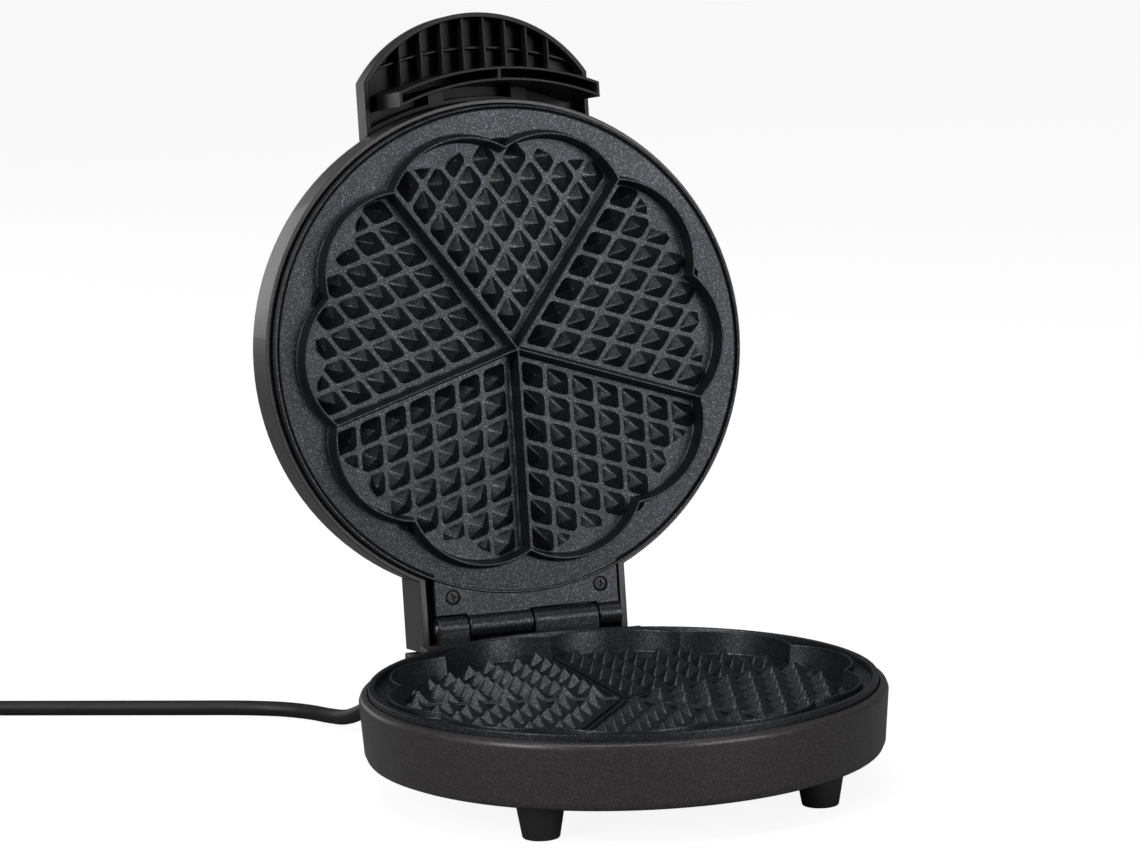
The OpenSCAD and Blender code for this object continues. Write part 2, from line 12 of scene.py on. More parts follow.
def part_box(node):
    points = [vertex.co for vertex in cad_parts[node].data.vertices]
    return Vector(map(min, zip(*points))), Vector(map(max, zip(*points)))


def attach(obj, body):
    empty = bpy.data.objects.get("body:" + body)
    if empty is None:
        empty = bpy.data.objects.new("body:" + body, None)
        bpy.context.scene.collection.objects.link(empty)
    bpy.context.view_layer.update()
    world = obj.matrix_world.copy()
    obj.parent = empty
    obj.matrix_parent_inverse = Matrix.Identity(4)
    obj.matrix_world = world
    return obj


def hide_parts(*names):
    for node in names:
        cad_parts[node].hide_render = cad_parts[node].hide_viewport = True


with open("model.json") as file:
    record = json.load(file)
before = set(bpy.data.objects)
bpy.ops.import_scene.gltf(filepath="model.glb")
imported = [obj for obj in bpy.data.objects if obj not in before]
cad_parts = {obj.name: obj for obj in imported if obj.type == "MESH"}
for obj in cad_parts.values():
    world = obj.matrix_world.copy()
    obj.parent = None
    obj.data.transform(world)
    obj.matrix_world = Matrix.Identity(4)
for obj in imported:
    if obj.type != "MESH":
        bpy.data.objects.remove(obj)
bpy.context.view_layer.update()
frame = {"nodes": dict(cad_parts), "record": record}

bl_info = {
    "name": "Heart waffle maker",
    "version": (1, 0, 0),
    "blender": (4, 5, 0),
    "location": "View3D > Sidebar > Waffle maker",
    "description": "Models the visible pieces of the waffle maker around its packed frame",
    "category": "Object",
}

# ---------- places that the frame gives, in millimetres ----------

BODY_R = 113.0
AXIS_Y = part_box("base_housing")[0][1] * 1000 + BODY_R
HINGE = frame["record"]["behaviour"]["joints"][0]
HINGE_Y = HINGE["pos_m"][1] * 1000 - AXIS_Y
HINGE_Z = HINGE["pos_m"][2] * 1000
OPEN_ANGLE = HINGE["range_deg"][1]

# Pieces are modelled in millimetres around the base's axis, the lid's pieces with the lid shut
TO_ROW = Matrix.Scale(0.001, 4) @ Matrix.Translation((0, AXIS_Y, 0))
OPENED = (
    Matrix.Translation((0, HINGE_Y, HINGE_Z))
    @ Matrix.Rotation(math.radians(-OPEN_ANGLE), 4, "X")
    @ Matrix.Translation((0, -HINGE_Y, -HINGE_Z))
)

# Heights of the baking plates
LOWER_UNDER, LOWER_FLOOR, LOWER_MOAT, LOWER_TOP = 33.7, 37.2, 44.2, 47.4
UPPER_FACE, UPPER_BACK, UPPER_TIP = 49.3, 52.8, 39.4
PLATE_R, RIM_IN_R, BEAD_R = 108.9, 106.2, 111.2
HEART_AXES = (270, 342, 54, 126, 198)
DIVIDER_AXES = (306, 18, 90, 162, 234)
DIVIDER_END = 91.2
FIRST_CORNER = 5.55
FIELD_LOBE = 33.8
GRID_ROWS = 8
RING_STEPS = 240

# Hinge leaves: ends of the barrels along X
LOWER_BARRELS = ((-44.0, -30.0), (1.7, 32.4))
UPPER_BARRELS = ((-29.2, 0.9), (33.2, 44.0))
BARREL_R = 5.2
TAB_HALF_W = 44.0

TAB_SCREW_X, LOWER_SCREW_Y, UPPER_SCREW_Y = 35.5, 111.0, 110.5
PIN_R, PIN_HALF_L = 2.0, 44.6

FOOT_H = 15.8
FEET = {
    "foot_front_left": (-61.7, -67.3),
    "foot_front_right": (61.7, -67.3),
    "foot_rear_left": (-40.0, 128.0),
    "foot_rear_right": (40.0, 128.0),
}

# Lamp lenses: node, place along X, colour and slot
LENSES = (
    ("power_lamp_lens", -14, (0.42, 0.015, 0.012), "red_lens"),
    ("ready_lamp_lens", 14, (0.02, 0.26, 0.05), "green_lens"),
)
LENS_Y = -84

# The cord's way from its gland to the coil, and the plug on the coil
CORD_ROUTE = (
    (-67, 114.5, 21.2), (-69.7, 123.5, 19.4), (-72.3, 132.5, 16.2), (-74.3, 141.5, 12.2),
    (-76, 150.5, 8.4), (-78.4, 160, 5.4), (-82, 172, 3.9), (-88, 185, 3.6), (-97, 196, 3.6),
    (-108, 204.5, 3.6), (-120, 211.5, 3.6), (-133, 218, 3.6), (-147, 225, 3.6), (-161, 232, 3.6),
    (-175, 239, 3.6), (-189, 246, 3.6), (-203, 253, 3.6), (-217, 260, 3.6), (-231, 267, 3.6),
    (-246, 274, 3.6), (-261, 281, 3.6), (-276, 286.5, 3.6),
)
COIL_CENTRE = Vector((-292, 236, 0))
COIL_OUT_R, COIL_TURNS, COIL_STEPS = 52.5, 3, 16
CORD_Z, PLUG_Z, PLUG_R = 3.6, 16.2, 19.0
TAIL_STEPS = 6
GLAND_ANGLE, GLAND_Z = 123, 24.5

# Camera: its direction in degrees, its distance in metres, its aim and its lens in millimetres
CAMERA_TURN, CAMERA_RISE, CAMERA_ROLL = 19.23, 8.56, -1.69
CAMERA_DISTANCE = 1.65614
CAMERA_AIM_X, CAMERA_AIM_Z = -20.65, 156.78
CAMERA_LENS, CAMERA_SENSOR = 124.24, 36

# Glow of the pale floor, and strength of the light from all around
FLOOR_SIDE, FLOOR_GLOW, SURROUND = 14, 0.9, 0.12

# Studio lights: place and aim in metres, size of the panel, power in watts
STUDIO_LIGHTS = (
    ("key", (1.05, -2.2, 0.62), (0, 0.09, 0.16), (1.3, 1.1), 17.5),
    ("top", (-0.2, -0.3, 2.0), (0, 0, 0.1), (1.6, 1.6), 13),
    ("left", (-2.1, -0.9, 1.1), (0, 0, 0.12), (0.9, 1.4), 24),
    ("behind", (-1.15, 2.5, 0.45), (0, 0.1, 0.15), (2.0, 1.3), 8),
)


# ---------- sizes and colours that can be changed ----------


def size(name, description, default, low, high):
    return FloatProperty(
        name=name, description=description, default=default, min=low, max=high,
        precision=4, subtype="DISTANCE", unit="LENGTH",
    )


def colour(name, description, default):
    return FloatVectorProperty(
        name=name, description=description, default=default, min=0, max=1, size=3, subtype="COLOR"
    )


class WaffleSizes(bpy.types.PropertyGroup):
    """Sizes of the waffle maker's moulded and cast details"""

    lobe_distance: size("Lobe distance", "From the flower's centre to its lobes", 0.062, 0.061, 0.063)
    lower_lobe: size("Lower lobe radius", "Outside of the lower plate's lip", 0.0412, 0.041, 0.0416)
    upper_lobe: size("Upper lobe radius", "Middle of the upper plate's lip", 0.0375, 0.037, 0.0378)
    pitch: size("Pyramid pitch", "Between neighbouring pyramids", 0.01253, 0.0123, 0.0127)
    valley: size("Valley width", "Flat strip between two rows of pyramids", 0.0023, 0.002, 0.0028)
    pyramid_height: size("Pyramid height", "From the plate's floor to a tip", 0.0052, 0.0045, 0.0054)
    pyramid_corner: size("Pyramid corner", "Rounding of a pyramid's foot", 0.002, 0.001, 0.003)
    cord_diameter: size("Cord diameter", "Thickness of the mains cord", 0.007, 0.0066, 0.0072)
    moulded_edge: size("Moulded edge", "Rounding of the plastic edges", 0.0005, 0.0002, 0.001)


class WaffleColours(bpy.types.PropertyGroup):
    """Colours of the waffle maker's finishes"""

    housing: colour("Housing", "Charcoal paint of the housings", (0.050, 0.0455, 0.0475))
    coating: colour("Coating", "Non-stick coating of the plates", (0.008, 0.0085, 0.0095))
    sparkle: colour("Sparkle", "Grains in the non-stick coating", (0.13, 0.155, 0.20))
    plastic: colour("Plastic", "Black moulded plastic", (0.010, 0.010, 0.0105))
    foot: colour("Foot", "Plastic of the feet", (0.021, 0.021, 0.0215))
    cord: colour("Cord", "Sheath of the mains cord", (0.013, 0.013, 0.0135))


def sizes():
    return bpy.context.scene.waffle_sizes


def colours():
    return bpy.context.scene.waffle_colours


# ---------- modelling by hand, in code ----------


def put_down():
    """Leaves edit mode and leaves nothing selected."""
    if bpy.context.object and bpy.context.object.mode == "EDIT":
        bpy.ops.object.mode_set(mode="OBJECT")
    bpy.ops.object.select_all(action="DESELECT")


def take(*objects):
    """Selects these objects alone, the first of them active."""
    put_down()
    for ob in objects:
        ob.select_set(True)
    bpy.context.view_layer.objects.active = objects[0]
    return objects[0]


def edit(ob):
    take(ob)
    bpy.ops.object.mode_set(mode="EDIT")


def pick_rims():
    """Selects the edges of the edited mesh that don't run along X."""
    bpy.ops.mesh.select_mode(type="EDGE")
    bpy.ops.mesh.select_all(action="DESELECT")
    data = bpy.context.object.data
    mesh = bmesh.from_edit_mesh(data)
    for edge in mesh.edges:
        if abs((edge.verts[1].co - edge.verts[0].co).normalized().x) < 0.5:
            edge.select_set(True)
    mesh.select_flush_mode()
    bmesh.update_edit_mesh(data)


def extrude(move=(0, 0, 0)):
    bpy.ops.mesh.extrude_region_move(TRANSFORM_OT_translate={"value": move})


def outward(ob):
    """Merges doubles and turns every face outwards."""
    edit(ob)
    bpy.ops.mesh.select_all(action="SELECT")
    bpy.ops.mesh.remove_doubles(threshold=0.0005)
    bpy.ops.mesh.normals_make_consistent(inside=False)
    bpy.ops.object.mode_set(mode="OBJECT")
    return ob


def modified(ob, kind, **settings):
    """Adds a modifier and applies it."""
    take(ob)
    bpy.ops.object.modifier_add(type=kind)
    modifier = ob.modifiers[-1]
    for key, value in settings.items():
        setattr(modifier, key, value)
    bpy.ops.object.modifier_apply(modifier=modifier.name)
    return ob


def cut(ob, cutter, operation="DIFFERENCE"):
    """Cuts one solid with another, which is used up."""
    modified(ob, "BOOLEAN", object=cutter, operation=operation, solver="EXACT")
    bpy.data.objects.remove(cutter, do_unlink=True)
    return ob


def joined(name, objects):
    take(*objects)
    if len(objects) > 1:
        bpy.ops.object.join()
    ob = bpy.context.object
    ob.name = name
    ob.data.name = name
    return ob


def copy_of(ob, name, matrix):
    """A copy with its own mesh, moved by a matrix."""
    made = bpy.data.objects.new(name, ob.data.copy())
    made.data.transform(matrix)
    bpy.context.scene.collection.objects.link(made)
    return made


def turn(degrees, axis="Z"):
    return Matrix.Rotation(math.radians(degrees), 4, axis)


def drawn_up(name, stations, steps=RING_STEPS):
    """A solid drawn up ring by ring. A station is a height and a radius, or a height and a
    function that gives the radius in each direction."""
    put_down()
    bpy.ops.mesh.primitive_circle_add(vertices=steps, radius=50, fill_type="NGON")
    ob = bpy.context.object
    ob.name = name
    bpy.ops.object.mode_set(mode="EDIT")
    bpy.ops.mesh.select_all(action="SELECT")
    for index, (height, reach) in enumerate(stations):
        if index:
            extrude()
        mesh = bmesh.from_edit_mesh(ob.data)
        for vert in mesh.verts:
            if vert.select:
                angle = math.atan2(vert.co.y, vert.co.x)
                radius = reach(angle) if callable(reach) else reach
                vert.co = (radius * math.cos(angle), radius * math.sin(angle), height)
        bmesh.update_edit_mesh(ob.data)
    bpy.ops.object.mode_set(mode="OBJECT")
    return outward(ob)


def block(name, low, high, bevel=0.0):
    """A box, with rounded edges where a bevel is given."""
    put_down()
    middle = [(a + b) / 2 for a, b in zip(low, high)]
    bpy.ops.mesh.primitive_cube_add(size=1, location=middle, scale=[b - a for a, b in zip(low, high)])
    bpy.ops.object.transform_apply(location=True, rotation=True, scale=True)
    ob = bpy.context.object
    ob.name = name
    if bevel:
        edit(ob)
        bpy.ops.mesh.select_all(action="SELECT")
        bpy.ops.mesh.bevel(offset=bevel, segments=2, affect="EDGES")
        bpy.ops.object.mode_set(mode="OBJECT")
    return ob


def bar_along_x(name, x0, x1, y, z, radius, bevel, sides=48):
    """A round bar along X with rounded ends."""
    put_down()
    bpy.ops.mesh.primitive_cylinder_add(
        vertices=sides, radius=radius, depth=x1 - x0, location=((x0 + x1) / 2, y, z),
        rotation=(0, math.pi / 2, 0),
    )
    bpy.ops.object.transform_apply(location=True, rotation=True, scale=True)
    ob = bpy.context.object
    ob.name = name
    edit(ob)
    pick_rims()
    bpy.ops.mesh.bevel(offset=bevel, segments=3, affect="EDGES")
    bpy.ops.object.mode_set(mode="OBJECT")
    return ob


def post(name, x, y, z0, z1, radius, sides=40):
    """An upright round post."""
    put_down()
    bpy.ops.mesh.primitive_cylinder_add(
        vertices=sides, radius=radius, depth=z1 - z0, location=(x, y, (z0 + z1) / 2)
    )
    bpy.ops.object.transform_apply(location=True, rotation=True, scale=True)
    ob = bpy.context.object
    ob.name = name
    return ob


def finished(ob, body, finish, nodes, lid=False, matrix=None, smooth=35):
    """Puts a modelled piece in its place, smooths it, and lets it ride on its body."""
    if matrix is None:
        matrix = TO_ROW @ OPENED if lid else TO_ROW
    ob.data.transform(matrix)
    take(ob)
    bpy.ops.object.shade_smooth_by_angle(angle=math.radians(smooth))
    modified(ob, "WEIGHTED_NORMAL", keep_sharp=True)
    ob.data.materials.clear()
    ob.data.materials.append(finish)
    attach(ob, body)
    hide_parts(*nodes)
    return ob


def softened(node, body, finish, width, segments=2):
    """The frame's own shape with its edges rounded, as the moulding has them."""
    source = frame["nodes"][node]
    ob = bpy.data.objects.new(node + "_moulded", source.data.copy())
    bpy.context.scene.collection.objects.link(ob)
    edit(ob)
    bpy.ops.mesh.select_all(action="SELECT")
    bpy.ops.mesh.remove_doubles(threshold=2e-6)
    bpy.ops.mesh.dissolve_limited(angle_limit=math.radians(1))
    bpy.ops.object.mode_set(mode="OBJECT")
    modified(
        ob, "BEVEL", width=width, segments=segments, limit_method="ANGLE",
        angle_limit=math.radians(30), use_clamp_overlap=False, loop_slide=False,
        miter_outer="MITER_SHARP",
    )
    return finished(ob, body, finish, (node,), matrix=Matrix.Identity(4))


# ---------- finishes ----------


def add_node(tree, kind, sockets=None, **settings):
    """Adds a node, sets it up, and links the sockets that are given as sockets."""
    made = tree.nodes.new(kind)
    for key, value in settings.items():
        setattr(made, key, value)
    for key, value in (sockets or {}).items():
        if isinstance(value, bpy.types.NodeSocket):
            tree.links.new(value, made.inputs[key])
        else:
            made.inputs[key].default_value = value
    return made


def add_effect(tree, group, sockets):
    """Adds one of the shared effects to a material."""
    return add_node(tree, "ShaderNodeGroup", sockets, node_tree=group)


def effect(name, inputs, outputs):
    """A new node group with named inputs and outputs."""
    group = bpy.data.node_groups.new(name, "ShaderNodeTree")
    for socket_name, kind, default in inputs:
        socket = group.interface.new_socket(socket_name, in_out="INPUT", socket_type=kind)
        if default is not None:
            socket.default_value = default
    for socket_name, kind in outputs:
        group.interface.new_socket(socket_name, in_out="OUTPUT", socket_type=kind)
    return group, group.nodes.new("NodeGroupInput").outputs, group.nodes.new("NodeGroupOutput").inputs


def grains_effect():
    """Grains of one size, given in millimetres, some of them lighter than the ground."""
    name = "Coloured grains"
    if name in bpy.data.node_groups:
        return bpy.data.node_groups[name]
    group, given, out = effect(
        name,
        [
            ("Vector", "NodeSocketVector", None),
            ("Size", "NodeSocketFloat", 0.5),
            ("Share", "NodeSocketFloat", 0.3),
            ("Ground", "NodeSocketColor", (0.02, 0.02, 0.02, 1)),
            ("Grain", "NodeSocketColor", (0.1, 0.1, 0.1, 1)),
        ],
        [("Color", "NodeSocketColor"), ("Mask", "NodeSocketFloat")],
    )
    scale = add_node(group, "ShaderNodeMath", {0: 1000.0, 1: given["Size"]}, operation="DIVIDE")
    cells = add_node(
        group, "ShaderNodeTexVoronoi",
        {"Vector": given["Vector"], "Scale": scale.outputs[0], "Randomness": 1.0},
        feature="F1",
    )
    parts = add_node(group, "ShaderNodeSeparateColor", {"Color": cells.outputs["Color"]})
    least = add_node(group, "ShaderNodeMath", {0: 1.0, 1: given["Share"]}, operation="SUBTRACT")
    most = add_node(group, "ShaderNodeMath", {0: least.outputs[0], 1: 0.12}, operation="ADD")
    mask = add_node(
        group, "ShaderNodeMapRange",
        {"Value": parts.outputs["Red"], "From Min": least.outputs[0], "From Max": most.outputs[0]},
        interpolation_type="SMOOTHSTEP",
    )
    mix = group.nodes.new("ShaderNodeMix")
    mix.data_type = "RGBA"
    group.links.new(mask.outputs["Result"], mix.inputs[0])
    group.links.new(given["Ground"], mix.inputs[6])
    group.links.new(given["Grain"], mix.inputs[7])
    group.links.new(mix.outputs[2], out["Color"])
    group.links.new(mask.outputs["Result"], out["Mask"])
    return group


def texture_effect():
    """Fine uneven surface of a cast, moulded or painted part, and its large soft patches."""
    name = "Surface texture"
    if name in bpy.data.node_groups:
        return bpy.data.node_groups[name]
    group, given, out = effect(
        name,
        [
            ("Vector", "NodeSocketVector", None),
            ("Size", "NodeSocketFloat", 0.5),
            ("Patch Size", "NodeSocketFloat", 30.0),
            ("Smoothest", "NodeSocketFloat", 0.3),
            ("Roughest", "NodeSocketFloat", 0.5),
        ],
        [("Height", "NodeSocketFloat"), ("Roughness", "NodeSocketFloat")],
    )
    fine = add_node(group, "ShaderNodeMath", {0: 1000.0, 1: given["Size"]}, operation="DIVIDE")
    broad = add_node(group, "ShaderNodeMath", {0: 1000.0, 1: given["Patch Size"]}, operation="DIVIDE")
    grain = add_node(
        group, "ShaderNodeTexNoise",
        {"Vector": given["Vector"], "Scale": fine.outputs[0], "Detail": 2.0, "Roughness": 0.6},
    )
    patch = add_node(
        group, "ShaderNodeTexNoise",
        {"Vector": given["Vector"], "Scale": broad.outputs[0], "Detail": 4.0, "Roughness": 0.55},
    )
    rough = add_node(
        group, "ShaderNodeMapRange",
        {"Value": patch.outputs["Fac"], "From Min": 0.3, "From Max": 0.7,
         "To Min": given["Smoothest"], "To Max": given["Roughest"]},
    )
    group.links.new(grain.outputs["Fac"], out["Height"])
    group.links.new(rough.outputs["Result"], out["Roughness"])
    return group


def dust_effect():
    """A little dust that lies on faces that look up, in loose patches."""
    name = "Settled dust"
    if name in bpy.data.node_groups:
        return bpy.data.node_groups[name]
    group, given, out = effect(
        name,
        [
            ("Vector", "NodeSocketVector", None),
            ("Color", "NodeSocketColor", (0.02, 0.02, 0.02, 1)),
            ("Dust", "NodeSocketColor", (0.2, 0.19, 0.18, 1)),
            ("Amount", "NodeSocketFloat", 0.1),
        ],
        [("Color", "NodeSocketColor")],
    )
    where = group.nodes.new("ShaderNodeNewGeometry")
    upward = add_node(group, "ShaderNodeSeparateXYZ", {0: where.outputs["Normal"]})
    facing = add_node(
        group, "ShaderNodeMapRange", {"Value": upward.outputs["Z"], "From Min": 0.3, "From Max": 1.0}
    )
    noise = add_node(
        group, "ShaderNodeTexNoise", {"Vector": given["Vector"], "Scale": 90.0, "Detail": 6.0}
    )
    patches = add_node(
        group, "ShaderNodeMapRange", {"Value": noise.outputs["Fac"], "From Min": 0.45, "From Max": 0.75}
    )
    both = add_node(
        group, "ShaderNodeMath", {0: facing.outputs[0], 1: patches.outputs[0]}, operation="MULTIPLY"
    )
    much = add_node(group, "ShaderNodeMath", {0: both.outputs[0], 1: given["Amount"]}, operation="MULTIPLY")
    mix = group.nodes.new("ShaderNodeMix")
    mix.data_type = "RGBA"
    group.links.new(much.outputs[0], mix.inputs[0])
    group.links.new(given["Color"], mix.inputs[6])
    group.links.new(given["Dust"], mix.inputs[7])
    group.links.new(mix.outputs[2], out["Color"])
    return group


def finish(
    name, ground, texture_size, depth, rough, patch, grain=None, share=0.0, grain_size=0.5, dust=0.0,
    metallic=0.0, flakes=False, specular=0.5, coat=0.0, transmission=0.0,
):
    """A finish built from the shared effects. Sizes and depth are in millimetres, and flakes
    makes the lighter grains metallic."""
    title = name + "_finish"
    if title in bpy.data.materials:
        return bpy.data.materials[title]
    material = bpy.data.materials.new(title)
    material.use_nodes = True
    material.diffuse_color = (*ground, 1)
    tree = material.node_tree
    shader = tree.nodes["Principled BSDF"]
    place = tree.nodes.new("ShaderNodeTexCoord").outputs["Object"]
    texture = add_effect(tree, texture_effect(), {
        "Vector": place, "Size": texture_size, "Patch Size": patch, "Smoothest": rough[0],
        "Roughest": rough[1],
    })
    grains = add_effect(tree, grains_effect(), {
        "Vector": place, "Size": grain_size, "Share": share, "Ground": (*ground, 1),
        "Grain": (*(grain or ground), 1),
    })
    coloured = grains.outputs["Color"]
    if dust:
        settled = add_effect(tree, dust_effect(), {"Vector": place, "Color": coloured, "Amount": dust})
        coloured = settled.outputs["Color"]
    tree.links.new(coloured, shader.inputs["Base Color"])
    tree.links.new(texture.outputs["Roughness"], shader.inputs["Roughness"])
    bump = add_node(
        tree, "ShaderNodeBump",
        {"Strength": 1.0, "Distance": depth * 0.001, "Height": texture.outputs["Height"]},
    )
    tree.links.new(bump.outputs["Normal"], shader.inputs["Normal"])
    if flakes:
        tree.links.new(grains.outputs["Mask"], shader.inputs["Metallic"])
    else:
        shader.inputs["Metallic"].default_value = metallic
    shader.inputs["Specular IOR Level"].default_value = specular
    shader.inputs["Coat Weight"].default_value = coat
    shader.inputs["Transmission Weight"].default_value = transmission
    return material


def plate_coating():
    c = colours()
    return finish(
        "plate_coating", c.coating, grain=c.sparkle, share=0.2, grain_size=0.34, texture_size=0.9,
        depth=0.010, rough=(0.36, 0.42), patch=45, flakes=True,
    )


def housing_paint():
    c = colours()
    light = tuple(min(1, v * 2.1) for v in c.housing)
    return finish(
        "housing_paint", c.housing, grain=light, share=0.25, grain_size=0.3, texture_size=0.7,
        depth=0.006, rough=(0.34, 0.42), patch=60, dust=0.05, metallic=0.35, coat=0.15,
    )


def black_plastic():
    return finish(
        "black_plastic", colours().plastic, texture_size=0.5, depth=0.004, rough=(0.30, 0.38), patch=25,
        dust=0.02, specular=0.22,
    )


def foot_plastic():
    return finish(
        "foot_plastic", colours().foot, texture_size=0.4, depth=0.012, rough=(0.42, 0.55), patch=12,
    )


def cord_rubber():
    return finish(
        "cord_rubber", colours().cord, texture_size=0.35, depth=0.008, rough=(0.42, 0.55), patch=18,
        dust=0.05,
    )


def black_screw():
    return finish(
        "black_screw", (0.012, 0.012, 0.013), texture_size=0.3, depth=0.006, rough=(0.3, 0.4), patch=4,
    )


def frame_finishes():
    """Finishes of the pieces whose shape is the frame's own."""
    steel = finish(
        "bright_steel", (0.55, 0.55, 0.57), grain=(0.7, 0.7, 0.72), share=0.3, grain_size=0.6,
        texture_size=0.3, depth=0.004, rough=(0.25, 0.4), patch=6, metallic=1.0,
    )
    sheet = finish(
        "shield_steel", (0.45, 0.46, 0.47), grain=(0.6, 0.61, 0.62), share=0.5, grain_size=6,
        texture_size=1.2, depth=0.01, rough=(0.3, 0.5), patch=20, metallic=1.0,
    )
    sheath = finish(
        "heater_sheath", (0.2, 0.2, 0.205), grain=(0.3, 0.25, 0.2), share=0.3, grain_size=3,
        texture_size=0.5, depth=0.01, rough=(0.4, 0.6), patch=15, metallic=1.0,
    )
    ceramic = finish(
        "ceramic_body", (0.62, 0.58, 0.48), grain=(0.5, 0.46, 0.38), share=0.2, grain_size=0.5,
        texture_size=0.4, depth=0.01, rough=(0.55, 0.7), patch=5,
    )
    fuse = finish(
        "fuse_body", (0.6, 0.55, 0.4), grain=(0.7, 0.66, 0.5), share=0.3, grain_size=0.5,
        texture_size=0.3, depth=0.004, rough=(0.3, 0.45), patch=5, metallic=0.9,
    )
    terminal = finish(
        "terminal_plastic", (0.62, 0.6, 0.55), grain=(0.55, 0.53, 0.48), share=0.2, grain_size=0.6,
        texture_size=0.4, depth=0.006, rough=(0.4, 0.55), patch=8,
    )
    wire = finish(
        "wire_insulation", (0.32, 0.08, 0.05), grain=(0.4, 0.12, 0.08), share=0.2, grain_size=0.5,
        texture_size=0.3, depth=0.006, rough=(0.45, 0.6), patch=8,
    )
    brass = finish(
        "earth_brass", (0.55, 0.42, 0.18), grain=(0.6, 0.48, 0.24), share=0.3, grain_size=0.7,
        texture_size=0.3, depth=0.004, rough=(0.25, 0.4), patch=5, metallic=1.0,
    )
    board = finish(
        "board_laminate", (0.02, 0.10, 0.04), grain=(0.03, 0.14, 0.06), share=0.3, grain_size=0.4,
        texture_size=0.3, depth=0.004, rough=(0.3, 0.4), patch=8, coat=0.3,
    )
    return {
        "foot_screws": steel, "lower_shield_bolts": steel, "upper_shield_bolts": steel,
        "handle_screws": steel, "lower_heat_shield": sheet, "upper_heat_shield": sheet,
        "fuse_cradle": sheet, "lower_heater": sheath, "upper_heater": sheath, "thermostat": ceramic,
        "thermal_fuse": fuse, "terminal_block": terminal, "cord_clamp": terminal, "base_wires": wire,
        "lid_wires": wire, "plug_earth_strips": brass, "lamp_board": board,
        "bottom_cover": black_plastic(),
    }


# ---------- shapes of the baking plates ----------


def lobed(radius):
    """The outline of ten lobes: how far it reaches in each direction."""
    centre = sizes().lobe_distance * 1000

    def reach(angle):
        off = (angle + math.pi / 10) % (math.pi / 5) - math.pi / 10
        return centre * math.cos(off) + math.sqrt(radius**2 - (centre * math.sin(off)) ** 2)

    return reach


def pyramid():
    """One four-sided pyramid with rounded corners at its foot, standing on the plate's floor."""
    s = sizes()
    side = (s.pitch - s.valley / math.sin(math.radians(72))) * 1000
    height = s.pyramid_height * 1000
    put_down()
    bpy.ops.mesh.primitive_circle_add(vertices=4, radius=1, fill_type="NGON")
    ob = bpy.context.object
    ob.name = "pyramid"
    bpy.ops.object.mode_set(mode="EDIT")
    bpy.ops.mesh.select_all(action="SELECT")
    half_long, half_short = side * math.cos(math.radians(36)), side * math.sin(math.radians(36))
    bpy.ops.transform.resize(value=(half_long, half_short, 1))
    bpy.ops.mesh.select_mode(type="VERT")
    bpy.ops.mesh.select_all(action="SELECT")
    bpy.ops.mesh.bevel(offset=s.pyramid_corner * 1000, segments=3, affect="VERTICES")
    bpy.ops.mesh.select_all(action="SELECT")
    bpy.ops.transform.resize(value=(1.05, 1.05, 1))
    extrude((0, 0, 0.25))
    bpy.ops.transform.resize(value=(1 / 1.05 * 0.955, 1 / 1.05 * 0.955, 1))
    extrude((0, 0, height - 0.45))
    bpy.ops.transform.resize(value=(0.10, 0.10, 1))
    extrude((0, 0, 0.2))
    bpy.ops.transform.resize(value=(0.4, 0.4, 1))
    bpy.ops.object.mode_set(mode="OBJECT")
    return outward(ob)


def heart_field():
    """The pyramids of one heart, whose axis is +X. Those on its outline are cut off along it."""
    step = sizes().pitch * 1000
    half = (step - sizes().valley * 1000 / math.sin(math.radians(72))) / 2
    along = [Vector((math.cos(a), math.sin(a), 0)) for a in (math.radians(-36), math.radians(36))]
    reach = lobed(FIELD_LOBE)
    model = pyramid()
    whole, partial = [], []
    for i in range(GRID_ROWS):
        for j in range(GRID_ROWS):
            spot = Vector((FIRST_CORNER, 0, 0)) + (i + 0.5) * step * along[0] + (j + 0.5) * step * along[1]
            inside = []
            for u in range(-4, 5):
                for v in range(-4, 5):
                    p = spot + along[0] * half * u / 4 + along[1] * half * v / 4
                    inside.append(p.length < reach(math.atan2(p.y, p.x)))
            if all(inside):
                whole.append(copy_of(model, "pyramid", Matrix.Translation(spot)))
            elif sum(inside) > 14:
                partial.append(copy_of(model, "pyramid", Matrix.Translation(spot)))
    bpy.data.objects.remove(model, do_unlink=True)
    edge = joined("edge_pyramids", partial)
    outline = drawn_up("field_outline", [(-3, lobed(FIELD_LOBE)), (9, lobed(FIELD_LOBE))])
    edge = cut(edge, outline, "INTERSECT")
    return joined("heart_field", [edge] + whole)


def hearts(field, level, face_down):
    """Five copies of the pyramid field, set on a plate."""
    flip = Matrix.Scale(-1, 4, (0, 0, 1)) if face_down else Matrix.Identity(4)
    made = []
    for axis in HEART_AXES:
        heart = copy_of(field, "heart", turn(axis) @ Matrix.Translation((0, 0, level)) @ flip)
        made.append(heart)
    return made


def ridge(stations, start, end):
    """A straight wall along +X, drawn up through pairs of height and half its thickness."""
    put_down()
    bpy.ops.mesh.primitive_plane_add(size=2)
    ob = bpy.context.object
    bpy.ops.object.mode_set(mode="EDIT")
    bpy.ops.mesh.select_all(action="SELECT")
    for index, (height, half) in enumerate(stations):
        if index:
            extrude()
        mesh = bmesh.from_edit_mesh(ob.data)
        for vert in mesh.verts:
            if vert.select:
                vert.co = (end if vert.co.x > (start + end) / 2 * (index > 0) else start,
                           half if vert.co.y > 0 else -half, height)
        bmesh.update_edit_mesh(ob.data)
    bpy.ops.object.mode_set(mode="OBJECT")
    return outward(ob)


